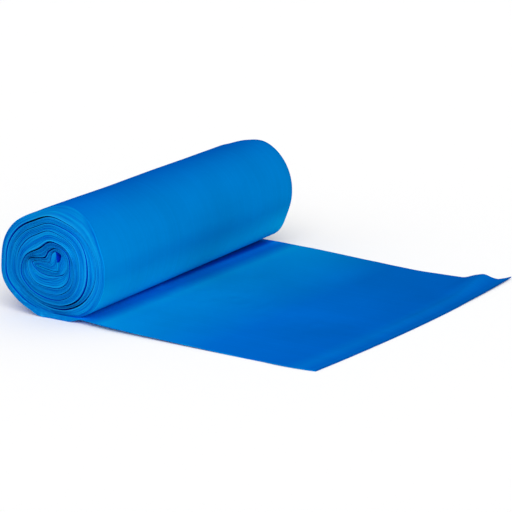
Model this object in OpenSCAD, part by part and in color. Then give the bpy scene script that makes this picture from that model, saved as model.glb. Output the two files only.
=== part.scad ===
// A coreless roll of folded film bin bags, partly unrolled.
// Origin: on the floor under the middle of the roll. X points along the unrolled leaf,
// Y along the roll's axis from its near end to its far end, Z up. All lengths are in mm.

/* [Roll] */
// Length of the roll along its axis, which is the folded width of the film
roll_length = 288; // [230:1:340]
// Width of the roll at its near end
near_width = 97; // [85:0.5:105]
// Height of the roll at its near end
near_height = 87.5; // [80:0.5:100]
// Width of the roll at its far end
far_width = 93.5; // [85:0.5:105]
// Height of the roll at its far end
far_height = 95; // [80:0.5:105]
// Sideways shift of the far end, away from the leaf
end_shift = 1.4; // [0:0.2:8]
// Width of the flat underside on the leaf's side of the origin
flat_width = 15; // [5:0.5:20]
// Width of the flat underside on the other side of the origin
flat_back = 7; // [3:0.5:12]

/* [Turns] */
// Space between two turns that are pressed together
gap_pressed = 0.1; // [0.1:0.05:0.3]
// Space between two turns where they cling to each other
gap_fine = 0.4; // [0.3:0.05:0.8]
// Space between two turns where they stand open
gap_open = 1.3; // [0.8:0.1:2]
// Groups of film layers that show on the edge of each turn
layers_per_turn = 3; // [1:1:3]
// Depth of the rounding at both sides of a turn's edge
edge_rounding = 0.9; // [0.3:0.1:1.5]
// Depth of the grooves between the groups of film layers
groove_depth = 0.6; // [0.2:0.1:1.2]
// How far the outermost turn's edge slopes back from each end
rim_bevel = 2.2; // [0:0.2:4]
// How far the outermost film edges stop short of the near end, on the leaf's side
near_setback = 6.5; // [0:0.5:10]
// How far the outermost film edges stop short of the far end
far_setback = 3; // [0:0.5:8]
// How far the edges of the inner turns wander in and out
edge_scatter = 0.7; // [0:0.1:1.5]

/* [Leaf] */
// Reach of the leaf, from under the middle of the roll to its end edge
leaf_reach = 248; // [230:1:400]
// Thickness of the leaf
leaf_thickness = 0.9; // [0.6:0.1:1.5]
// Height of the air under the leaf, beside the roll
leaf_lift = 3.6; // [2:0.1:6]
// Distance from under the middle of the roll to where the leaf stands highest
lift_place = 30; // [25:1:40]
// Distance from under the middle of the roll to where the leaf lies flat
lift_run = 185; // [120:1:190]
// Distance of the pressed line from the leaf's end edge
hem_width = 5.5; // [3:0.5:12]
// Height of the soft ridge inside the pressed line
hem_ridge = 1; // [0:0.1:2]
// How far the end edge bulges past its corners
end_bow = 5.8; // [0:0.2:10]
// How far the leaf drifts towards its near side by its end edge
leaf_drift = 2.4; // [0:0.2:5]
// How far the far edge is drawn in along its middle
far_waist = 3.4; // [0:0.2:8]
// How far the leaf's far corner is drawn out past the far edge
corner_flare = 21; // [0:0.5:25]
// Height of the leaf's lifted far corner
corner_lift = 1; // [0:0.2:10]
// Length of the far edge that is drawn out at that corner
corner_length = 24; // [15:1:40]
// Height of the wave in the far edge, beside that corner
wave_height = 4.8; // [0:0.2:8]
// Distance of the wave's top from the end edge
wave_place = 17.5; // [10:0.5:30]
// Length of the wave
wave_length = 35; // [20:1:50]

/* [Hidden] */

film_blue = [0.0, 0.42, 0.78];
half_length = roll_length / 2;
stations_per_turn = 40;
outline_steps = 16;
directions = 8;
core_steps = 16;
core_start = 6;
core_film_steps = 26;
film_end = core_start + core_film_steps / core_steps;
normal_reach = 0.4 / stations_per_turn;
last_station = round(film_end * stations_per_turn);

// Outline of both ends as shares of half the width and half the height,
// from the bottom by sixteenths of a turn: bottom, back, top, leaf side.
near_shape = [
    0.994, 0.986, 1.022, 1.071, 1.02, 1.016, 1.005, 0.988,
    1.04, 0.977, 0.956, 0.962, 0.985, 1.036, 1.075, 1.051
];
far_shape = [
    1.015, 1, 1, 1, 1, 1, 0.988, 0.912,
    0.942, 1.034, 1.044, 1.021, 0.978, 0.934, 0.97, 0.967
];

// Where the gap under each turn lies, as a share of the outline, by eighths of a turn,
// starting an eighth into the second turn. The dent at the upper back, which grows inward,
// makes the heart shape of the middle.
inner_shares = [
    0.887, 0.882, 0.864, 0.866, 0.934, 0.913, 0.806,
    0.783, 0.744, 0.78, 0.749, 0.75, 0.85, 0.767, 0.729,
    0.719, 0.684, 0.657, 0.608, 0.619, 0.672, 0.607, 0.597,
    0.635, 0.627, 0.544, 0.365, 0.419, 0.497, 0.486, 0.501,
    0.541, 0.545, 0.48, 0.271, 0.337, 0.456, 0.415, 0.409,
    0.414, 0.417
];

// The gap through the folded middle, by sixteenths of a turn, as shares of half the width
// and half the height: round the heart, through the mass below it, over the tongue,
// down its far side past the hollow, and round the slit under it.
core_line = [
    [0.153, -0.397],
    [0, -0.411], [-0.155, -0.401], [-0.318, -0.342], [-0.419, -0.186],
    [-0.435, 0.035], [-0.315, 0.105], [-0.117, 0.128], [-0.065, 0.175],
    [-0.005, 0.273], [0.122, 0.338], [0.262, 0.295], [0.346, 0.162],
    [0.352, 0], [0.281, -0.123], [0.159, -0.171], [0.071, -0.184],
    [-0.01, -0.189], [-0.1, -0.182], [-0.209, -0.15], [-0.314, -0.082],
    [-0.362, 0.003], [-0.276, 0.051], [-0.105, 0.06], [-0.005, 0.065],
    [0.022, 0.15], [0.052, 0.243], [0.135, 0.278], [0.228, 0.235],
    [0.228, 0.165], [0.185, 0.06], [0.165, -0.088], [0.063, -0.114],
    [-0.042, -0.096], [-0.147, -0.08], [-0.226, -0.067], [-0.276, -0.051],
    [-0.26, -0.035], [-0.188, -0.046], [-0.084, -0.064], [0.021, -0.08],
    [0.1, -0.087], [0.152, -0.07], [0.15, 0.085], [0.16, 0.155]
];

// Stretches where the turns are pressed together or stand open: middle and half length,
// in turns from the bottom, and the width of the gap there
stretches = [
    [1, 0.25, gap_pressed], [1.43, 0.24, gap_open], [1.94, 0.2, gap_open],
    [2.2, 0.14, gap_pressed], [2.86, 0.28, gap_open], [4.46, 0.28, gap_open],
    [5.4, 0.3, gap_pressed], [6.42, 0.28, gap_open]
];

// Where the leaf has its rows along X, and the shares of its width where it has points
root_steps = [0, 0.35, 0.7, 1];
lift_steps = 10;
flat_steps = 4;
end_steps = 15;
end_crowding = 1.3;
across = [0, 0.12, 0.3, 0.5, 0.68, 0.8, 0.88, 0.95, 1];
corner_across = 0.72;
wave_across = 0.8;
waist_half = 85;
// Powers of the fall of the leaf to the floor and of the drawn corner, and how much more
// the end edge bulges towards its far side than towards its near side
lift_power = 1.2;
corner_power = 4;
bow_skew = 0.4;
ridge_middle = 2.4 * hem_width;
ridge_half = 1.3 * hem_width;

function clamp(x) = max(0, min(1, x));
function ease(x) = let (c = clamp(x)) c * c * (3 - 2 * c);
function hump(x) = let (c = clamp(1 - abs(x))) c * c * (3 - 2 * c);
function mix(a, b, f) = a + (b - a) * f;
function total(list, i = 0) = i < len(list) ? list[i] + total(list, i + 1) : 0;

// Smooth curve between b and c, with a before them and d after them
function curve(a, b, c, d, f) =
    b + 0.5 * f * ((c - a) + f * ((2 * a - 5 * b + 4 * c - d) + f * (3 * (b - c) + d - a)));
function along(list, x) =
    let (i = floor(x), last = len(list) - 1)
    curve(list[max(i - 1, 0)], list[min(i, last)], list[min(i + 1, last)],
        list[min(i + 2, last)], x - i);
function around(ring, x) =
    let (i = floor(x), n = len(ring))
    curve(ring[(i + n - 1) % n], ring[i % n], ring[(i + 1) % n], ring[(i + 2) % n], x - i);

// Shares of the outline for an end of some height, by eighths of a turn. The first turn
// is the outline itself, and then the gap runs over the leaf that the roll lies on.
leaf_top = leaf_lift + leaf_thickness;
function turn_shares(height, shape) = concat(
    [for (i = [1:directions]) 1],
    [(1 - 2 * (leaf_top + gap_pressed / 2) / height) / shape[0]],
    inner_shares
);

// An end is [outline, half width, half height, sideways shift, shares of its turns]
near_end = [near_shape, near_width / 2, near_height / 2, 0, turn_shares(near_height, near_shape)];
far_end = [far_shape, far_width / 2, far_height / 2, -end_shift, turn_shares(far_height, far_shape)];

// The gap spiral in the plane of an end, as shares of its half width and half height.
// t counts turns along the film, from the bottom inward.
function spiral(end, t) =
    t < core_start
        ? let (a = -90 - 360 * t)
            around(end[0], outline_steps * t) * along(end[4], directions * t) * [cos(a), sin(a)]
        : along(core_line, core_steps * (t - core_start) + 1);
function gap_point(end, t) =
    let (s = spiral(end, t))
    [end[3] + end[1] * s[0], end[2] * (1 + s[1])];
function gap_normal(end, t) =
    let (d = gap_point(end, t + normal_reach) - gap_point(end, t - normal_reach))
    [d[1], -d[0]] / norm(d);

// Half the width of the gap at t. The outline has none, and past the film's end
// the spiral follows the inner side of the last turn itself.
function half_gap(t) =
    t < 1 || t > film_end
        ? 0
        : (gap_fine + total([for (s = stretches) (s[2] - gap_fine) * hump((t - s[0]) / s[1])])) / 2;

// Outer and inner side of the film at station t. The outer side is pressed flat by the
// floor as far back as flat_back and meets the outline again at twice that distance.
// Where the first turn comes down on the leaf, it is pressed flat by that.
function rest_height(p, t) =
    t < 0.25
        ? max(p[1], 0) * ease((-p[0] - flat_back) / flat_back)
        : max(p[1], t < 0.5 ? 0 : leaf_top + gap_pressed);
function outer_side(end, t) =
    let (p = gap_point(end, t))
    t < 1 ? [p[0], rest_height(p, t)] : p + half_gap(t) * gap_normal(end, t);
function inner_side(end, t) = gap_point(end, t + 1) - half_gap(t + 1) * gap_normal(end, t + 1);

// How far the film's edge stops short of each end, at station t and place f across the turn.
// The outermost edges are drawn back over part of their way round, less so with depth.
setback_turns = 1.6;
setback_span = 0.34;
near_middle = 0.66;
far_middle = 0.34;
scatter_rate = 0.37;
function short_of(setback, middle, t, f) =
    let (turn = floor(t), outermost = clamp(1 - turn - f))
    setback * hump((t - turn - middle) / setback_span) * clamp(1 - (turn + f) / setback_turns)
    + rim_bevel * outermost * outermost * ease(t * 4)
    + edge_scatter * (1 + sin(360 * (scatter_rate * t + middle))) * ease(t);
function near_y(t, f, depth) = -half_length + short_of(near_setback, near_middle, t, f) + depth;
function far_y(t, f, depth) = half_length - short_of(far_setback, far_middle, t, f) - depth;

// Points across a turn's edge, from its outer to its inner side, and their depths
ribs = 2 * layers_per_turn;
function rib_depth(i) = i == 0 || i == ribs ? edge_rounding : i % 2 == 0 ? groove_depth : 0;

function in_plane(p, y) = [p[0], y, p[1]];
function roll_row(t) =
    let (
        fade = ease(t * 4),
        no = outer_side(near_end, t), ni = inner_side(near_end, t),
        fo = outer_side(far_end, t), fi = inner_side(far_end, t)
    )
    concat(
        [for (i = [0:ribs]) in_plane(mix(no, ni, i / ribs), near_y(t, i / ribs, rib_depth(i) * fade))],
        [for (i = [0:ribs]) in_plane(mix(fo, fi, i / ribs), far_y(t, i / ribs, rib_depth(i) * fade))]
    );

// Rows of the leaf: from the flat spot up to the highest place, down to the floor, flat,
// and closer together towards the end edge, where the wave and the drawn corner are
lift_length = lift_run - lift_place;
end_length = max(corner_length, wave_place + wave_length / 2);
leaf_rows = concat(
    [for (s = root_steps) mix(flat_width, lift_place, s)],
    [for (i = [1:lift_steps]) lift_place + lift_length * i / lift_steps],
    [for (i = [1:flat_steps - 1]) mix(lift_run, leaf_reach - end_length, i / flat_steps)],
    [for (i = [0:end_steps]) leaf_reach - end_length * pow(1 - i / end_steps, end_crowding)]
);

function under_height(x) =
    x < lift_place
        ? leaf_lift * ease((x - flat_width) / (lift_place - flat_width))
        : leaf_lift * pow(clamp(1 - (x - lift_place) / lift_length), lift_power);
function over_height(x) = x < lift_place ? leaf_top : under_height(x) + leaf_thickness;

// s is the place across the leaf, from 0 at its near edge to 1 at its far edge
function corner(x, s) =
    pow(clamp(1 - (leaf_reach - x) / corner_length), corner_power)
    * ease((s - corner_across) / (1 - corner_across));
function ripple(x, s) =
    hem_ridge * hump((leaf_reach - x - ridge_middle) / ridge_half)
    + wave_height * hump((leaf_reach - x - wave_place) * 2 / wave_length)
        * ease((s - wave_across) / (1 - wave_across));
function bow(x, s) =
    end_bow * 4 * s * (1 - s) * (1 + bow_skew * (s - 0.5))
    * ease(1 - (leaf_reach - x) / (leaf_reach / 2));
function leaf_point(x, s, z) =
    let (
        c = corner(x, s),
        drift = leaf_drift * x / leaf_reach + far_waist * s * hump((leaf_reach - waist_half - x) / waist_half)
    )
    [x + bow(x, s), mix(-half_length, half_length, s) - drift + corner_flare * c,
        z + ripple(x, s) + corner_lift * c];
function leaf_row(x) = concat(
    [for (s = across) leaf_point(x, s, under_height(x))],
    [for (s = across) leaf_point(x, s, over_height(x))]
);

// A row's four sides as lists of point numbers: near, inner, far and outer
function sides(first, n) = [
    [for (i = [0:n - 1]) first + i],
    [first + n - 1, first + 2 * n - 1],
    [for (i = [n - 1:-1:0]) first + n + i],
    [first + n, first]
];
function leaf_sides(first, n) = [
    [first, first + n],
    [for (i = [0:n - 1]) first + n + i],
    [first + 2 * n - 1, first + n - 1],
    [for (i = [n - 1:-1:0]) first + i]
];

// Triangles between two lists of points that run side by side. Two faces that look at each
// other across a gap lean opposite ways along their lists, so that both are split alike.
function early(k, m, n) = max(0, ceil((k + 0.5) * n / m - 0.5));
function late(k, m, n) = floor((k + 0.5) * n / m + 0.5);
function strip(a, b, lean = false) =
    let (m = len(a) - 1, n = len(b) - 1)
    concat(
        [for (i = [0:m - 1]) [a[i + 1], a[i], b[lean ? late(i, m, n) : early(i, m, n)]]],
        [for (j = [0:n - 1]) [b[j], b[j + 1], a[lean ? early(j, n, m) : late(j, n, m)]]]
    );

function reversed(list) = [for (i = [len(list) - 1:-1:0]) list[i]];

module bag_roll() {
    depth = ribs + 1;
    width = len(across);
    roll_points = [for (i = [0:last_station]) each roll_row(i / stations_per_turn)];
    leaf_points = [for (x = leaf_rows) each leaf_row(x)];
    leaf_first = len(roll_points);
    roll_rows = [for (i = [0:last_station]) sides(2 * depth * i, depth)];
    rows = concat(
        [for (j = [len(leaf_rows) - 1:-1:0]) leaf_sides(leaf_first + 2 * width * j, width)],
        roll_rows
    );
    leaf_end = rows[0];
    film_tip = rows[len(rows) - 1];
    color(film_blue)
        polyhedron(
            points = concat(roll_points, leaf_points),
            faces = concat(
                [for (r = [0:len(rows) - 2], side = [0:3])
                    each strip(rows[r][side], rows[r + 1][side], side == 3)],
                strip(reversed(leaf_end[3]), leaf_end[1]),
                strip(film_tip[0], reversed(film_tip[2]))
            )
        );
}

bag_roll();
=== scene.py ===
import math

import bpy
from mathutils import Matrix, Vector, noise


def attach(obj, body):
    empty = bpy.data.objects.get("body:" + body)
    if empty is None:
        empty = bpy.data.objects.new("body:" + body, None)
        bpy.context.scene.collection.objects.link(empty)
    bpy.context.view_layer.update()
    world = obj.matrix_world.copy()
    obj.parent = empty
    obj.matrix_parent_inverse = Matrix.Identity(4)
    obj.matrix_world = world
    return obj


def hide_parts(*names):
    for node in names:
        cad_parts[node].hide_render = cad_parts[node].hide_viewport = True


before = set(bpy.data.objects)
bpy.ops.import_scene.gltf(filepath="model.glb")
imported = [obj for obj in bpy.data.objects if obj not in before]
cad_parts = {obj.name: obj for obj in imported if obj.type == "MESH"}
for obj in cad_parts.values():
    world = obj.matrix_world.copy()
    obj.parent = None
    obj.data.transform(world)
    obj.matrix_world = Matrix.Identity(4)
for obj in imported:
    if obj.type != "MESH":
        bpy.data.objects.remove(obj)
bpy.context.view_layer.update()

# Sizes, in metres unless a share or a power
MM = 0.001
ROLL_LENGTH = 288 * MM
NEAR_WIDTH, NEAR_HEIGHT = 97 * MM, 87.5 * MM
FAR_WIDTH, FAR_HEIGHT = 93.5 * MM, 95 * MM
END_SHIFT = 1.4 * MM
FLAT_WIDTH, FLAT_BACK = 15 * MM, 7 * MM
GAP_PRESSED, GAP_FINE, GAP_OPEN = 0.1 * MM, 0.4 * MM, 1.3 * MM
NEAR_SETBACK, FAR_SETBACK = 6.5 * MM, 3 * MM
EDGE_SCATTER = 0.7 * MM
LEAF_REACH = 248 * MM
LEAF_THICKNESS = 0.9 * MM
LEAF_LIFT = 3.6 * MM
LEAF_TOP = LEAF_LIFT + LEAF_THICKNESS
LIFT_PLACE, LIFT_RUN = 30 * MM, 185 * MM
LIFT_LENGTH = LIFT_RUN - LIFT_PLACE
HEM_WIDTH = 5.5 * MM
HEM_RIDGE = 1 * MM
END_BOW, LEAF_DRIFT, FAR_WAIST = 5.8 * MM, 2.4 * MM, 3.4 * MM
WAIST_HALF = 85 * MM
CORNER_FLARE, CORNER_LIFT, CORNER_LENGTH = 21 * MM, 1 * MM, 24 * MM
WAVE_HEIGHT, WAVE_PLACE, WAVE_LENGTH = 4.8 * MM, 17.5 * MM, 35 * MM
CORNER_ACROSS, WAVE_ACROSS = 0.72, 0.8
LIFT_POWER, CORNER_POWER, BOW_SKEW = 1.2, 4, 0.4

# Outline of both ends as shares of half the width and height, from the bottom by sixteenths
NEAR_SHAPE = [
    0.994, 0.986, 1.022, 1.071, 1.02, 1.016, 1.005, 0.988,
    1.04, 0.977, 0.956, 0.962, 0.985, 1.036, 1.075, 1.051,
]
FAR_SHAPE = [
    1.015, 1, 1, 1, 1, 1, 0.988, 0.912,
    0.942, 1.034, 1.044, 1.021, 0.978, 0.934, 0.97, 0.967,
]

# Where the gap under each turn lies, as a share of the outline, by eighths of a turn,
# starting an eighth into the second turn
INNER_SHARES = [
    0.887, 0.882, 0.864, 0.866, 0.934, 0.913, 0.806,
    0.783, 0.744, 0.78, 0.749, 0.75, 0.85, 0.767, 0.729,
    0.719, 0.684, 0.657, 0.608, 0.619, 0.672, 0.607, 0.597,
    0.635, 0.627, 0.544, 0.365, 0.419, 0.497, 0.486, 0.501,
    0.541, 0.545, 0.48, 0.271, 0.337, 0.456, 0.415, 0.409,
    0.414, 0.417,
]

# The gap through the folded middle, by sixteenths of a turn, as shares of half the size
CORE_LINE = [
    (0.153, -0.397),
    (0, -0.411), (-0.155, -0.401), (-0.318, -0.342), (-0.419, -0.186),
    (-0.435, 0.035), (-0.315, 0.105), (-0.117, 0.128), (-0.065, 0.175),
    (-0.005, 0.273), (0.122, 0.338), (0.262, 0.295), (0.346, 0.162),
    (0.352, 0), (0.281, -0.123), (0.159, -0.171), (0.071, -0.184),
    (-0.01, -0.189), (-0.1, -0.182), (-0.209, -0.15), (-0.314, -0.082),
    (-0.362, 0.003), (-0.276, 0.051), (-0.105, 0.06), (-0.005, 0.065),
    (0.022, 0.15), (0.052, 0.243), (0.135, 0.278), (0.228, 0.235),
    (0.228, 0.165), (0.185, 0.06), (0.165, -0.088), (0.063, -0.114),
    (-0.042, -0.096), (-0.147, -0.08), (-0.226, -0.067), (-0.276, -0.051),
    (-0.26, -0.035), (-0.188, -0.046), (-0.084, -0.064), (0.021, -0.08),
    (0.1, -0.087), (0.152, -0.07), (0.15, 0.085), (0.16, 0.155),
]
CORE_START, CORE_STEPS, CORE_FILM_STEPS = 6, 16, 26
OUTLINE_STEPS, DIRECTIONS = 16, 8
FILM_END = CORE_START + CORE_FILM_STEPS / CORE_STEPS
NORMAL_REACH = 0.01

# Places on a turn, clockwise from the bottom as seen from the near side
LEFT, TOP = 0.25, 0.5

# Stretches where the turns are pressed together or stand open: middle and half length,
# in turns from the bottom, and the width of the gap there
STRETCHES = [
    (1, 0.25, GAP_PRESSED), (1.43, 0.24, GAP_OPEN), (1.94, 0.2, GAP_OPEN),
    (2.2, 0.14, GAP_PRESSED), (2.86, 0.28, GAP_OPEN), (4.46, 0.28, GAP_OPEN),
    (5.4, 0.3, GAP_PRESSED), (6.42, 0.28, GAP_OPEN),
]

# Fineness of the mesh, and the angle in degrees from which its edges are sharp
STATIONS_PER_TURN = 150
SKIN_STEPS = 46
INNER_STEPS = 4
LAYERS = 5
LEAF_ROWS = 130
LEAF_STEPS = 72
SHARP_ANGLE = 50

# Sides of a row of the film: its near and far edges, its inner face and its outer face.
# The inner face goes on as the leaf's top, and the outer face as its underside
NEAR_EDGE, INNER_FACE, FAR_EDGE, OUTER_FACE = range(4)

# Places along the roll's skin as shares of its length. The first three are for the raised
# lip of the outermost film beside the near end
LIP_PLACES = [0.0035, 0.007, 0.0105]
SKIN_PLACES = LIP_PLACES + [k / SKIN_STEPS for k in range(1, SKIN_STEPS)]

# From here to the crinkled foot, a MIDDLE is the middle of a stretch of the film and a
# HALF is half its length, both in turns
LIP_HEIGHT, LIP_MIDDLE, LIP_HALF = 0.6 * MM, 0.68, 0.26

# Dents of the skin, which set in and end over a sixth of a turn and fade toward the roll's
# ends. The skin moves along the normal that lies NORMAL_SHIFT turns further on
DENT_RATE, DENT_END, DENT_FADE = 6, 0.9, 12 * MM
NORMAL_SHIFT = 0.002

# Film edges on the end faces. Their relief sets in over the first quarter of a turn, and
# each layer is flat between two shares of its thickness
LAYER_GROOVE, LAYER_WANDER = 0.55 * MM, 0.9 * MM
LAYER_FLAT = (0.3, 0.7)
EDGE_ROUNDING = 0.7 * MM
RIM_BEVEL = 2.2 * MM
RIM_CURL, RIM_SHARE = 0.6 * MM, 0.3
RIM_SLANT, SLANT_MIDDLE, SLANT_HALF = 14 * MM, 0.53, 0.17
NEAR_SETBACK_MIDDLE, FAR_SETBACK_MIDDLE = 0.66, 0.34
SETBACK_HALF, SETBACK_TURNS = 0.34, 1.6
SCATTER_RATE = 0.37
RELIEF_TURNS = 0.25
NEAR_SEED, FAR_SEED = 1, 9

# How quickly a rim, a rounded edge and a shaded wall appear as a gap opens
RIM_RATE, ROUNDING_RATE, SHADE_RATE = 2, 3, 4

# Length over which the underside rounds up behind the strip that rests on the floor
UNDER_ROUNDING = 14 * MM

# Foot of the near end, which is drawn back, and the leaf's near edge beside it
FOOT_SETBACK, FOOT_TURNS = 2.5 * MM, 0.08
FOOT_END, FOOT_LENGTH = 25 * MM, 35 * MM

# Painted highlight on the outermost turn's crest, also by its place across the turn, and
# painted glints on the crinkled foot
CREST_HIGHLIGHT, CREST_MIDDLE, CREST_HALF = 0.4, 0.72, 0.26
CREST_ACROSS, CREST_SPREAD = 0.45, 0.3
FOOT_GLINT_STRENGTH, FOOT_MIDDLE, FOOT_HALF, FOOT_REACH = 1.4, 0.1, 0.3, 1.6

# Rounding of the leaf's near corner and the slight bulge of the near edge before it
NEAR_TUCK, NEAR_TUCK_LENGTH = 2.4 * MM, 20 * MM
NEAR_BULGE, NEAR_BULGE_PLACE = 0.8 * MM, 1.5
NEAR_EDGE_SHARE = 0.1

# Ridge and pressed line beside the leaf's end: where they lie from it, how strong they are
# on the near and the far half, and the shares of the width between which they change
RIDGE_MIDDLE, RIDGE_HALF = 2.4 * HEM_WIDTH, 1.3 * HEM_WIDTH
RIDGE_NEAR, RIDGE_FAR = 0.12, 1.3
PRESSED_DEPTH, PRESSED_HALF, PRESSED_NEAR = 0.3 * MM, 1.8 * MM, 0.3
FAR_HALF_START, FAR_HALF_RUN = 0.3, 0.3

# Crinkles of the leaf, as shares of its width, and the length over which its softness sets in
CRINKLE_MIDDLE, CRINKLE_HALF = 0.38, 0.2
SOFT_LENGTH = 40 * MM

# Kinds of unevenness: height, fineness in two directions, and a number of its own. The
# coarse level of the layers takes the seed of its end of the roll as that number
SKIN_KINDS = [(0.45 * MM, 5, 14, 2), (0.12 * MM, 16, 40, 7), (0.16 * MM, 30, 5, 11)]
LEAF_KINDS = [(0.9 * MM, 16, 4.2, 3), (0.25 * MM, 45, 11, 5)]
LEAF_CRINKLES = (0.9 * MM, 90, 26, 8)
# The foot's kind only sets where the painted glints on the foot lie
FOOT_GLINT_PATTERN = (1, 80, 3, 6)
COARSE_LEVEL = (1, 3.1, 5.7)
FINE_LEVEL = (0.6, 11, 3.3, 4)


def clamp(x):
    return max(0.0, min(1.0, x))


def ease(x):
    c = clamp(x)
    return c * c * (3 - 2 * c)


def hump(x):
    return ease(1 - abs(x))


def mix(a, b, f):
    return a + (b - a) * f


def uneven(kind, u, v, shift=0):
    """Height of a kind of unevenness at u, v, the same in every run."""
    height, fineness_u, fineness_v, own = kind
    return height * noise.noise(Vector((u * fineness_u, v * fineness_v + shift, own)))


def curve(a, b, c, d, f):
    """Smooth curve between b and c, with a before them and d after them."""
    return b + 0.5 * f * ((c - a) + f * ((2 * a - 5 * b + 4 * c - d) + f * (3 * (b - c) + d - a)))


def along(values, x):
    i, last = math.floor(x), len(values) - 1
    a, b, c, d = (values[max(0, min(i + k, last))] for k in (-1, 0, 1, 2))
    return curve(a, b, c, d, x - i)


def around(ring, x):
    i, n = math.floor(x), len(ring)
    a, b, c, d = (ring[(i + k) % n] for k in (-1, 0, 1, 2))
    return curve(a, b, c, d, x - i)


def turn_shares(height, shape):
    """Shares of the outline by eighths of a turn: the outline itself, over the leaf, inward."""
    under_gap = (1 - 2 * (LEAF_TOP + GAP_PRESSED / 2) / height) / shape[0]
    return [1] * DIRECTIONS + [under_gap] + INNER_SHARES


CORE_POINTS = [Vector(p) for p in CORE_LINE]
ENDS = {
    "near": (NEAR_SHAPE, NEAR_WIDTH / 2, NEAR_HEIGHT / 2, 0.0, turn_shares(NEAR_HEIGHT, NEAR_SHAPE)),
    "far": (FAR_SHAPE, FAR_WIDTH / 2, FAR_HEIGHT / 2, -END_SHIFT, turn_shares(FAR_HEIGHT, FAR_SHAPE)),
}


def gap_point(end, t):
    """The gap spiral in the plane of an end. t counts turns from the bottom inward."""
    shape, half_width, half_height, shift, shares = ENDS[end]
    if t < CORE_START:
        angle = math.radians(-90 - 360 * t)
        size = around(shape, OUTLINE_STEPS * t) * along(shares, DIRECTIONS * t)
        s = Vector((math.cos(angle), math.sin(angle))) * size
    else:
        s = along(CORE_POINTS, CORE_STEPS * (t - CORE_START) + 1)
    return Vector((shift + half_width * s.x, half_height * (1 + s.y)))


def gap_normal(end, t):
    d = gap_point(end, t + NORMAL_REACH) - gap_point(end, t - NORMAL_REACH)
    return Vector((d.y, -d.x)).normalized()


def half_gap(t):
    """Half the width of the gap at t. There is none on the first turn or past the tip."""
    if t < 1 or t > FILM_END:
        return 0.0
    changes = ((width - GAP_FINE) * hump((t - middle) / half) for middle, half, width in STRETCHES)
    return (GAP_FINE + sum(changes)) / 2


def openness(t):
    """How far a gap stands open, from 0 where it is pressed to 1 where it is widest."""
    return clamp((2 * half_gap(t) - GAP_PRESSED) / (GAP_OPEN - GAP_PRESSED)) if t > 0 else 0.0


def rest_height(p, t):
    """Height of the outline, pressed flat by the floor and by the leaf."""
    if t < LEFT:
        return max(p.y, 0.0) * ease((-p.x - FLAT_BACK) / UNDER_ROUNDING)
    return max(p.y, 0.0 if t < TOP else LEAF_TOP + GAP_PRESSED)


def outer_side(end, t):
    p = gap_point(end, t)
    if t < 1:
        return Vector((p.x, rest_height(p, t)))
    return p + half_gap(t) * gap_normal(end, t)


def inner_side(end, t):
    return gap_point(end, t + 1) - half_gap(t + 1) * gap_normal(end, t + 1)


def short_of(setback, middle, t, f):
    """How far the film's edge stops short of an end, at station t and place f across the turn."""
    turn = math.floor(t)
    drawn_back = setback * hump((t - turn - middle) / SETBACK_HALF)
    drawn_back *= clamp(1 - (turn + f) / SETBACK_TURNS)
    bevel = RIM_BEVEL * clamp(1 - turn - f) ** 2 * ease(t / RELIEF_TURNS)
    scatter = EDGE_SCATTER * (1 + math.sin(math.tau * (SCATTER_RATE * t + middle))) * ease(t)
    return drawn_back + bevel + scatter


def near_slant(t, f):
    """How far the outermost turn's layers step back at the top of the near end."""
    return RIM_SLANT * hump((t - SLANT_MIDDLE) / SLANT_HALF) * clamp(1 - f)


def layer_profile():
    """Places across a turn and whether each is a groove between two film edges."""
    places = [(0.0, True)]
    for k in range(LAYERS):
        places += [((k + share) / LAYERS, False) for share in LAYER_FLAT]
        places.append(((k + 1) / LAYERS, True))
    return places


PROFILE = layer_profile()


def rim_share(t, f):
    """How strongly a film edge stands proud beside an open gap, at place f across the turn."""
    outer = clamp(1 - f / RIM_SHARE) * clamp(RIM_RATE * openness(t))
    inner = clamp(1 - (1 - f) / RIM_SHARE) * clamp(RIM_RATE * openness(t + 1))
    return max(outer, inner)


def painted_edge_highlight(t, f):
    """Painted highlight on a film edge: on each rim beside an open gap, on the crest of the outermost
    turn, and as glints on the crinkled foot.
    """
    crest = CREST_HIGHLIGHT * hump((t - CREST_MIDDLE) / CREST_HALF)
    crest *= hump((f - CREST_ACROSS) / CREST_SPREAD)
    foot = FOOT_GLINT_STRENGTH * max(0.0, uneven(FOOT_GLINT_PATTERN, t, f))
    foot *= hump((t - math.floor(t) - FOOT_MIDDLE) / FOOT_HALF) * clamp(FOOT_REACH - t)
    return clamp(max(rim_share(t, f), crest, foot))


def edge_depth(t, f, groove, seed):
    """Depth of the film edges below the face of the roll's end, in and between the layers."""
    if f in (0.0, 1.0):
        depth = (LAYER_GROOVE + EDGE_ROUNDING) * clamp(ROUNDING_RATE * openness(t + f))
    elif groove:
        depth = LAYER_GROOVE
    else:
        layer = min(LAYERS - 1, int(f * LAYERS))
        level = uneven((*COARSE_LEVEL, seed), t, layer, seed) + uneven(FINE_LEVEL, t, layer, seed)
        depth = LAYER_WANDER * level / 2
    return (LAYER_WANDER / 2 + depth - RIM_CURL * rim_share(t, f)) * ease(t / RELIEF_TURNS)


def end_edges(t):
    """The near and far edges of the film at station t, from its outer to its inner face."""
    half = ROLL_LENGTH / 2
    near_outer, near_inner = outer_side("near", t), inner_side("near", t)
    far_outer, far_inner = outer_side("far", t), inner_side("far", t)
    foot = FOOT_SETBACK * ease(1 - t / FOOT_TURNS)
    near, far = [], []
    for f, groove in PROFILE:
        short_near = short_of(NEAR_SETBACK, NEAR_SETBACK_MIDDLE, t, f) + near_slant(t, f) + foot
        short_far = short_of(FAR_SETBACK, FAR_SETBACK_MIDDLE, t, f)
        near_y = -half + short_near + edge_depth(t, f, groove, NEAR_SEED)
        far_y = half - short_far - edge_depth(t, f, groove, FAR_SEED)
        p, q = mix(near_outer, near_inner, f), mix(far_outer, far_inner, f)
        near.append(Vector((p.x, near_y, p.y)))
        far.append(Vector((q.x, far_y, q.y)))
    return near, far


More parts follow.
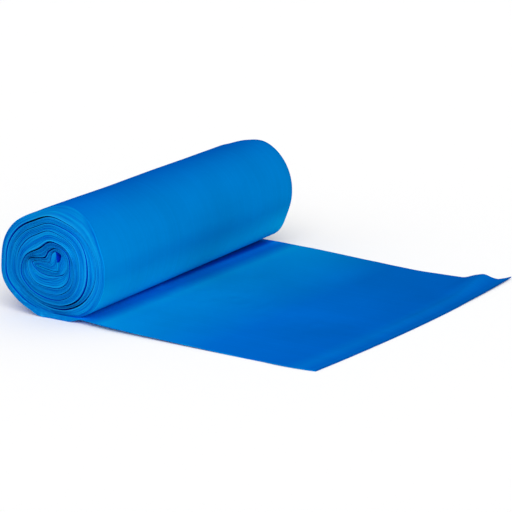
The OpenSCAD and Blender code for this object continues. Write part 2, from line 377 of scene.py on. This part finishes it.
def soften(skin, t, near_y, far_y):
    """Moves the points of the outermost turn's skin, for its dents and its lip."""
    normal = gap_normal("near", t + NORMAL_SHIFT)
    away = Vector((-normal.x, 0, -normal.y))
    strength = ease(t * DENT_RATE) * ease((DENT_END - t) * DENT_RATE)
    lip = LIP_HEIGHT * hump((t - LIP_MIDDLE) / LIP_HALF)
    for place, p in zip(SKIN_PLACES, skin):
        fade = ease(min(p.y - near_y, far_y - p.y) / DENT_FADE)
        dent = sum(uneven(kind, t, p.y) for kind in SKIN_KINDS) * strength * fade
        p += away * (dent + lip * hump(place / LIP_PLACES[0] - 1))
        p.z = max(0.0, p.z)


def roll_row(t):
    """The four sides of the film at station t: near edge, inner face, far edge, outer face."""
    near, far = end_edges(t)
    inner_places = [k / INNER_STEPS for k in range(1, INNER_STEPS)]
    inner = [near[-1].lerp(far[-1], place) for place in inner_places]
    outer = [near[0].lerp(far[0], place) for place in (SKIN_PLACES if t <= 1 else inner_places)]
    if t < 1:
        soften(outer, t, near[0].y, far[0].y)
    return near, inner, far, outer


def under_height(x):
    """Height of the leaf's underside above the floor."""
    if x < LIFT_PLACE:
        return LEAF_LIFT * ease((x - FLAT_WIDTH) / (LIFT_PLACE - FLAT_WIDTH))
    return LEAF_LIFT * clamp(1 - (x - LIFT_PLACE) / LIFT_LENGTH) ** LIFT_POWER


def leaf_ripple(x, s):
    """Height of the ridge, the crinkles, the wave and the softness, less the pressed line."""
    from_end = LEAF_REACH - x
    far_half = ease((s - FAR_HALF_START) / FAR_HALF_RUN)
    ridge = HEM_RIDGE * hump((from_end - RIDGE_MIDDLE) / RIDGE_HALF)
    ridge *= mix(RIDGE_NEAR, RIDGE_FAR, far_half)
    crinkles = hump((s - CRINKLE_MIDDLE) / CRINKLE_HALF) * max(0.0, uneven(LEAF_CRINKLES, x, s))
    pressed = PRESSED_DEPTH * hump((from_end - HEM_WIDTH) / PRESSED_HALF)
    pressed *= mix(PRESSED_NEAR, 1, far_half)
    wave = WAVE_HEIGHT * hump((from_end - WAVE_PLACE) * 2 / WAVE_LENGTH)
    wave *= ease((s - WAVE_ACROSS) / (1 - WAVE_ACROSS))
    clear = ease((x - LIFT_PLACE) / SOFT_LENGTH)
    soft = clear * max(0.0, sum(uneven(kind, x, s) for kind in LEAF_KINDS))
    return max(0.0, ridge + crinkles + wave + soft) - pressed * clear


def leaf_point(x, s, z):
    """A point of the leaf at x, at share s of its width from near to far, and at height z."""
    from_end = LEAF_REACH - x
    corner = clamp(1 - from_end / CORNER_LENGTH) ** CORNER_POWER
    corner *= ease((s - CORNER_ACROSS) / (1 - CORNER_ACROSS))
    bow = END_BOW * 4 * s * (1 - s) * (1 + BOW_SKEW * (s - 0.5))
    bow *= ease(1 - from_end / (LEAF_REACH / 2))
    drift = LEAF_DRIFT * x / LEAF_REACH
    drift += FAR_WAIST * s * hump((from_end - WAIST_HALF) / WAIST_HALF)
    tuck = NEAR_TUCK * clamp(1 - from_end / NEAR_TUCK_LENGTH) ** 2
    tuck -= NEAR_BULGE * hump(from_end / NEAR_TUCK_LENGTH - NEAR_BULGE_PLACE)
    tuck += FOOT_SETBACK * ease(1 - (x - FOOT_END) / FOOT_LENGTH)
    tuck *= ease(1 - s / NEAR_EDGE_SHARE)
    return Vector((
        x + bow,
        mix(-ROLL_LENGTH / 2, ROLL_LENGTH / 2, s) - drift + CORNER_FLARE * corner + tuck,
        max(0.0, z + leaf_ripple(x, s) + CORNER_LIFT * corner),
    ))


def leaf_row(x):
    """The leaf's four sides at x, in the same order as those of roll_row."""
    places = [k / LEAF_STEPS for k in range(LEAF_STEPS + 1)]
    top = LEAF_TOP if x < LIFT_PLACE else under_height(x) + LEAF_THICKNESS
    lower = [leaf_point(x, s, under_height(x)) for s in places]
    upper = [leaf_point(x, s, top) for s in places]
    return [lower[0], upper[0]], upper[1:-1], [lower[-1], upper[-1]], lower[1:-1]


def zip_faces(a, b):
    """Faces between two lists of vertex numbers that run side by side."""
    m, n = len(a) - 1, len(b) - 1
    if m == n:
        return [(a[i], a[i + 1], b[i + 1], b[i]) for i in range(m)]
    faces = []
    for i in range(m):
        faces.append((a[i], a[i + 1], b[max(0, math.ceil((i + 0.5) * n / m - 0.5))]))
    for j in range(n):
        faces.append((b[j + 1], b[j], a[math.floor((j + 0.5) * m / n + 0.5)]))
    return faces


def add_row(points, sides, distance, t):
    """Stores a row's points and returns its four sides as lists of vertex numbers."""
    numbers = []
    for side, places in enumerate(sides):
        first = len(points["place"])
        numbers.append(list(range(first, first + len(places))))
        points["place"] += places
        points["uv"] += [(distance, p.y) for p in places]
        across = side in (NEAR_EDGE, FAR_EDGE) and len(places) == len(PROFILE)
        points["layer"] += [t + f for f, _ in PROFILE] if across else [t] * len(places)
        # Painted highlight on the film edges of the end faces
        points["rim"] += [painted_edge_highlight(t, f) for f, _ in PROFILE] if across else [0.0] * len(places)
    near, inner, far, outer = numbers
    return (
        near,
        [near[-1]] + inner + [far[-1]],
        far[::-1],
        [far[0]] + outer[::-1] + [near[0]],
    )


def film_rows(points):
    """Rows from the leaf's end edge to the innermost tip of the film."""
    rows = []
    for k in range(LEAF_ROWS + 1):
        x = mix(LEAF_REACH, FLAT_WIDTH, k / LEAF_ROWS)
        rows.append(add_row(points, leaf_row(x), -x, 0.0))
    length, previous = 0.0, gap_point("near", 0)
    for i in range(math.floor(FILM_END * STATIONS_PER_TURN) + 1):
        t = i / STATIONS_PER_TURN
        middle = gap_point("near", t)
        length += (middle - previous).length
        previous = middle
        rows.append(add_row(points, roll_row(t), length, t))
    return rows


def shade_in_gap(number, side):
    """How strongly a side of the film after a row is shaded, as the wall of an open gap."""
    station = number - LEAF_ROWS - 1
    t = max(0.0, station / STATIONS_PER_TURN)
    if side == INNER_FACE and number >= LEAF_ROWS:
        return clamp(SHADE_RATE * openness(t + 1))
    if side == OUTER_FACE and station >= STATIONS_PER_TURN:
        return clamp(SHADE_RATE * openness(t))
    return 0.0


def film_faces(rows):
    """Faces of the film, and for each whether it is a film edge and how strongly it is shaded."""
    faces = zip_faces(rows[0][OUTER_FACE][::-1], rows[0][INNER_FACE])
    on_edge, shaded = [0.0] * len(faces), [0.0] * len(faces)
    for number, (a, b) in enumerate(zip(rows, rows[1:])):
        for side in range(len(a)):
            new = zip_faces(a[side], b[side])
            faces += new
            on_edge += [1.0 if side in (NEAR_EDGE, FAR_EDGE) else 0.0] * len(new)
            shaded += [shade_in_gap(number, side)] * len(new)
    faces.append([vertex for side in rows[-1] for vertex in side[:-1]])
    on_edge.append(0.0)
    shaded.append(1.0)
    return faces, on_edge, shaded


def build_film():
    """One closed mesh from the leaf's end edge to the innermost tip of the film."""
    points = {"place": [], "uv": [], "layer": [], "rim": []}
    faces, on_edge, shaded = film_faces(film_rows(points))
    mesh = bpy.data.meshes.new("film")
    mesh.from_pydata(points["place"], [], faces)
    own_values = [
        ("film_edge", "FACE", on_edge),
        ("film_shaded", "FACE", shaded),
        ("film_layer", "POINT", points["layer"]),
        ("film_painted_highlight", "POINT", points["rim"]),
    ]
    for name, domain, values in own_values:
        mesh.attributes.new(name, "FLOAT", domain).data.foreach_set("value", values)
    mesh.validate()
    uv = mesh.uv_layers.new(name="film")
    for loop in mesh.loops:
        uv.data[loop.index].uv = points["uv"][loop.vertex_index]
    mesh.shade_smooth()
    mesh.set_sharp_from_angle(angle=math.radians(SHARP_ANGLE))
    roll = bpy.data.objects.new("film_roll", mesh)
    bpy.context.scene.collection.objects.link(roll)
    return roll


def srgb(r, g, b):
    """A colour as seen on screen, from 0 to 255, as the shader's linear values."""
    def linear(v):
        v /= 255
        return v / 12.92 if v <= 0.04045 else ((v + 0.055) / 1.055) ** 2.4
    return (linear(r), linear(g), linear(b), 1)


# Colour of the film by its place along the strip, in metres from under the roll's middle:
# the leaf is negative, and the outermost turn ends about 0.29 m on. Most of it is painted
# light and shade: painted shade on the leaf's end edge, a leaf painted lighter toward the
# roll, a painted shadow band beside the crease with paler, bluer paint right at the crease
# that lightens the real shadow there, and painted shade on the top of the outermost turn
# with painted light on its lower side
STRIP_TONES_AND_PAINTED_LIGHT = [
    (-0.248, (0, 58, 140)), (-0.2466, (0, 96, 192)), (-0.2425, (0, 90, 191)),
    (-0.239, (0, 98, 196)), (-0.234, (0, 104, 199)), (-0.222, (0, 92, 194)),
    (-0.15, (0, 98, 196)), (-0.06, (0, 138, 214)), (-0.05, (0, 148, 216)),
    (-0.042, (0, 122, 206)), (-0.036, (0, 110, 208)), (-0.031, (0, 124, 232)),
    (-0.027, (0, 146, 255)), (-0.0235, (0, 100, 240)), (-0.01, (0, 84, 186)),
    (0.145, (0, 90, 192)), (0.18, (0, 114, 196)), (0.225, (0, 128, 200)),
    (0.25, (0, 184, 238)), (0.268, (0, 168, 230)),
]
TONES_FROM, TONES_TO = -0.26, 0.3

# Film edges on the end faces, painted highlights on them, painted shade on the walls of the
# open gaps, and the gloss over all
EDGE_DEEP, EDGE_PALE = srgb(0, 84, 180), srgb(2, 134, 202)
STREAK_FINENESS = (28.0, 5.0, 1.0)
STREAKS_FROM, STREAKS_TO = 0.3, 0.72
RIM_HIGHLIGHT_BLUE, RIM_HIGHLIGHT_SHARE = srgb(20, 158, 224), 0.85
# Painted shade on the walls of the open gaps and on the film's tip
SHADED_BLUE = srgb(0, 48, 200)
GLOSS_BLUE, GLOSS_SHARE = srgb(0, 156, 220), 0.1
GLOSS_SMOOTH, GLOSS_ROUGH = 0.4, 0.56

# How much the clouds dim or brighten the colour, and painted shade that darkens it from the
# near end to the far end
CLOUD_DARK, CLOUD_PALE = 0.86, 1.14
CLOUDS_FROM, CLOUDS_TO = 0.3, 0.7
NEAR_PAINTED_LIGHT, FAR_PAINTED_SHADE = 1.03, 0.86

# Die lines: fine streaks along the strip, and their share in the clouds
DIE_FINENESS = (1.5, 420.0, 1.0)
DIE_SHARE = 0.25

# Depth of the bumps, in metres
CRINKLE_DEPTH, DIE_DEPTH = 0.0008, 0.0004

# Numbers of the Mix node's sockets, which share their names
COLOR_A, COLOR_B, COLOR_RESULT = 6, 7, 2
FLOAT_A, FLOAT_B, FLOAT_RESULT = 2, 3, 0


def feed(tree, socket, value):
    """Gives an input socket another node's output or a fixed value."""
    if isinstance(value, bpy.types.NodeSocket):
        tree.links.new(value, socket)
    else:
        socket.default_value = value


def node(tree, kind, **values):
    """Adds a shader node. Names that start with a capital are its input sockets."""
    n = tree.nodes.new(kind)
    for name, value in values.items():
        if name[0].isupper():
            feed(tree, n.inputs[name.replace("_", " ")], value)
        else:
            setattr(n, name, value)
    return n


def product(tree, first, second):
    n = node(tree, "ShaderNodeMath", operation="MULTIPLY")
    feed(tree, n.inputs[0], first)
    feed(tree, n.inputs[1], second)
    return n.outputs["Value"]


def color_mix(tree, share, first, second):
    n = node(tree, "ShaderNodeMix", data_type="RGBA", Factor=share)
    feed(tree, n.inputs[COLOR_A], first)
    feed(tree, n.inputs[COLOR_B], second)
    return n.outputs[COLOR_RESULT]


def own_value(tree, name):
    """One of the values that the film's mesh carries."""
    return node(tree, "ShaderNodeAttribute", attribute_name=name).outputs["Fac"]


def strip_tone_and_painted_light(tree, strip):
    """Colour along the strip, from the film's own length coordinate, with its painted light and
    shade.
    """
    spread = node(
        tree, "ShaderNodeMapRange", Value=strip.outputs["X"],
        From_Min=TONES_FROM, From_Max=TONES_TO,
    )
    ramp = node(tree, "ShaderNodeValToRGB", Fac=spread.outputs["Result"])
    stops = ramp.color_ramp.elements
    stops.remove(stops[1])
    for number, (distance, color) in enumerate(STRIP_TONES_AND_PAINTED_LIGHT):
        position = (distance - TONES_FROM) / (TONES_TO - TONES_FROM)
        stop = stops[0] if number == 0 else stops.new(position)
        stop.position = position
        stop.color = srgb(*color)
    return ramp.outputs["Color"]


def edge_color(tree, strip):
    """Streaks that follow the turns on the roll's end faces, and their painted highlights."""
    spot = node(
        tree, "ShaderNodeCombineXYZ", X=strip.outputs["X"], Y=own_value(tree, "film_layer"),
    )
    stretch = node(
        tree, "ShaderNodeMapping", Vector=spot.outputs["Vector"], Scale=STREAK_FINENESS,
    )
    streaks = node(
        tree, "ShaderNodeTexNoise",
        Vector=stretch.outputs["Vector"], Scale=1.0, Detail=2.0, Roughness=0.5,
    )
    ramp = node(tree, "ShaderNodeValToRGB", Fac=streaks.outputs["Fac"])
    deep, pale = ramp.color_ramp.elements
    deep.position, pale.position = STREAKS_FROM, STREAKS_TO
    deep.color, pale.color = EDGE_DEEP, EDGE_PALE
    # Painted highlights on the film edges
    rim_highlights = product(tree, own_value(tree, "film_painted_highlight"), RIM_HIGHLIGHT_SHARE)
    return color_mix(tree, rim_highlights, ramp.outputs["Color"], RIM_HIGHLIGHT_BLUE)


def film_color(tree, strip):
    """Colour of the film before its clouds: along the strip, on its edges, painted shade in gaps."""
    whole = color_mix(
        tree, own_value(tree, "film_edge"), strip_tone_and_painted_light(tree, strip), edge_color(tree, strip),
    )
    return color_mix(tree, own_value(tree, "film_shaded"), whole, SHADED_BLUE)


def film_light(tree, place, strip, die_lines):
    """Share of the colour's light: soft clouds, faint die lines, painted shade toward the far end."""
    clouds = node(
        tree, "ShaderNodeTexNoise",
        Vector=place.outputs["Object"], Scale=9.0, Detail=3.0, Roughness=0.5,
    )
    both = node(tree, "ShaderNodeMix", data_type="FLOAT", Factor=DIE_SHARE)
    feed(tree, both.inputs[FLOAT_A], clouds.outputs["Fac"])
    feed(tree, both.inputs[FLOAT_B], die_lines)
    cloudy = node(
        tree, "ShaderNodeMapRange", Value=both.outputs[FLOAT_RESULT],
        From_Min=CLOUDS_FROM, From_Max=CLOUDS_TO, To_Min=CLOUD_DARK, To_Max=CLOUD_PALE,
    )
    painted_shade_to_far = node(
        tree, "ShaderNodeMapRange", Value=strip.outputs["Y"],
        From_Min=-ROLL_LENGTH / 2, From_Max=ROLL_LENGTH / 2, To_Min=NEAR_PAINTED_LIGHT, To_Max=FAR_PAINTED_SHADE,
    )
    return product(tree, cloudy.outputs["Result"], painted_shade_to_far.outputs["Result"])


def film_material():
    """Dense blue polyethylene film: soft cloudy tone, faint die lines and fine crinkles."""
    material = bpy.data.materials.new("blue_film")
    material.use_nodes = True
    tree = material.node_tree
    place = node(tree, "ShaderNodeTexCoord")
    strip = node(tree, "ShaderNodeSeparateXYZ", Vector=place.outputs["UV"])
    die_space = node(
        tree, "ShaderNodeMapping", Vector=place.outputs["UV"], Scale=DIE_FINENESS,
    )
    die = node(
        tree, "ShaderNodeTexNoise",
        Vector=die_space.outputs["Vector"], Scale=1.0, Detail=2.0, Roughness=0.6,
    )
    crinkle = node(
        tree, "ShaderNodeTexNoise",
        Vector=place.outputs["Object"], Scale=120.0, Detail=4.0, Roughness=0.55,
    )
    crinkle_bump = node(
        tree, "ShaderNodeBump",
        Height=crinkle.outputs["Fac"], Strength=0.22, Distance=CRINKLE_DEPTH,
    )
    bump = node(
        tree, "ShaderNodeBump",
        Height=die.outputs["Fac"], Strength=0.12, Distance=DIE_DEPTH,
        Normal=crinkle_bump.outputs["Normal"],
    )
    color = node(
        tree, "ShaderNodeVectorMath", operation="SCALE",
        Scale=film_light(tree, place, strip, die.outputs["Fac"]),
    )
    feed(tree, color.inputs[0], film_color(tree, strip))

    shader = tree.nodes["Principled BSDF"]
    feed(tree, shader.inputs["Base Color"], color.outputs["Vector"])
    feed(tree, shader.inputs["Normal"], bump.outputs["Normal"])
    feed(tree, shader.inputs["Specular IOR Level"], 0.0)
    gloss = node(
        tree, "ShaderNodeMapRange", Value=crinkle.outputs["Fac"],
        To_Min=GLOSS_SMOOTH, To_Max=GLOSS_ROUGH,
    )
    sheen = node(
        tree, "ShaderNodeBsdfAnisotropic", Color=GLOSS_BLUE,
        Roughness=gloss.outputs["Result"], Normal=bump.outputs["Normal"],
    )
    look = node(tree, "ShaderNodeMixShader", Fac=GLOSS_SHARE)
    feed(tree, look.inputs[1], shader.outputs["BSDF"])
    feed(tree, look.inputs[2], sheen.outputs["BSDF"])
    feed(tree, tree.nodes["Material Output"].inputs["Surface"], look.outputs["Shader"])
    return material


FLOOR_SIZE = 14.0
FLOOR_WHITE, FLOOR_ROUGHNESS = (0.985, 0.985, 0.985, 1), 0.9


def floor_material():
    material = bpy.data.materials.new("pale_floor")
    material.use_nodes = True
    shader = material.node_tree.nodes["Principled BSDF"]
    shader.inputs["Base Color"].default_value = FLOOR_WHITE
    shader.inputs["Roughness"].default_value = FLOOR_ROUGHNESS
    shader.inputs["Specular IOR Level"].default_value = 0.0
    return material


def make_floor():
    half = FLOOR_SIZE / 2
    corners = [(-half, -half, 0), (half, -half, 0), (half, half, 0), (-half, half, 0)]
    mesh = bpy.data.meshes.new("floor")
    mesh.from_pydata(corners, [], [(0, 1, 2, 3)])
    mesh.materials.append(floor_material())
    floor = bpy.data.objects.new("floor", mesh)
    bpy.context.scene.collection.objects.link(floor)


ROOM_LIGHT = 0.62


def sun(name, azimuth, elevation, strength, softness):
    """A soft distant lamp. Azimuth 0 shines along +Y from the near side, 90 from +X."""
    lamp = bpy.data.lights.new(name, "SUN")
    lamp.energy = strength
    lamp.angle = math.radians(softness)
    obj = bpy.data.objects.new(name, lamp)
    obj.rotation_euler = (math.radians(90 - elevation), 0, math.radians(azimuth))
    bpy.context.scene.collection.objects.link(obj)


def make_lights():
    sun("key", azimuth=38, elevation=42, strength=1.5, softness=50)
    sun("low_right", azimuth=58, elevation=17, strength=0.4, softness=60)
    sun("front_fill", azimuth=-25, elevation=25, strength=0.3, softness=60)
    world = bpy.data.worlds.new("white_room")
    world.use_nodes = True
    background = world.node_tree.nodes["Background"]
    background.inputs["Color"].default_value = (1, 1, 1, 1)
    background.inputs["Strength"].default_value = ROOM_LIGHT
    bpy.context.scene.world = world


# The photo's view: place in metres, angles in degrees, lens and sensor in millimetres
CAMERA_PLACE = (1.2398, -1.7306, 0.5934)
CAMERA_TURN, CAMERA_DIP = 33.365, 15.1
CAMERA_LENS, CAMERA_SENSOR = 186.2, 36
CAMERA_REACH = 30


def make_camera():
    data = bpy.data.cameras.new("camera")
    data.lens = CAMERA_LENS
    data.sensor_width = CAMERA_SENSOR
    data.clip_end = CAMERA_REACH
    camera = bpy.data.objects.new("camera", data)
    camera.location = CAMERA_PLACE
    camera.rotation_euler = (math.radians(90 - CAMERA_DIP), 0, math.radians(CAMERA_TURN))
    bpy.context.scene.collection.objects.link(camera)
    bpy.context.scene.camera = camera


film = build_film()
film.data.materials.append(film_material())
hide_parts("bag_roll")
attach(film, "root")

make_floor()
make_lights()
make_camera()
bpy.context.scene.view_settings.view_transform = "Standard"
